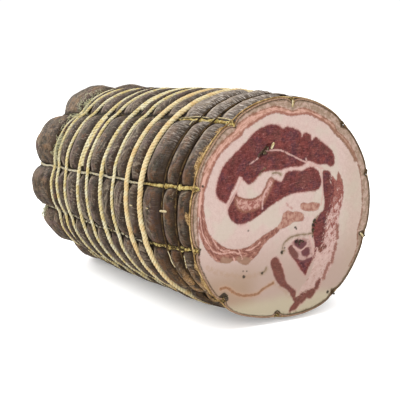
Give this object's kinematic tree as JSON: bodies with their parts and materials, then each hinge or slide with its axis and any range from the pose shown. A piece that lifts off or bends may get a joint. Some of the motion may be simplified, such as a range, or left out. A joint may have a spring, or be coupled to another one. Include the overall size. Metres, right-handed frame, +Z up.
{
  "type": "rolled pancetta half",
  "caption": "Half of a netted and twine-wound cured pork belly roll: dark peppered casing outside, cut flat at one end to show its swirl of lean and fat.",
  "frame": {"origin": "middle of the underside, on the surface that the roll rests on", "axes": "+Z up, +X along the roll towards its cut face, +Y across the roll"},
  "size_m": [0.2403, 0.1336, 0.1311],
  "materials": {
    "casing": "dried natural casing, dark brown, satin with a dusty bloom",
    "twine": "twisted straw-yellow butcher's twine, matte",
    "net": "thin cream net string, matte"
  },
  "bodies": {
    "root": {"pancetta_roll": "casing", "twine_ring_1": "twine", "twine_ring_2": "twine", "twine_ring_3": "twine", "twine_ring_4": "twine", "twine_ring_5": "twine", "twine_ring_6": "twine", "twine_ring_7": "twine", "twine_ring_8": "twine", "twine_ring_9": "twine", "twine_ring_4_second_strand": "twine", "twine_ring_6_second_strand": "twine", "end_knot": "twine", "rim_thread": "net", "net_thread_1": "net", "net_thread_2": "net", "net_string_1": "net", "net_string_2": "net", "net_string_3": "net", "net_string_4": "net", "net_string_5": "net", "net_string_6": "net", "net_string_7": "net", "net_string_8": "net", "net_string_9": "net", "net_string_10": "net"}
  },
  "joints": []
}
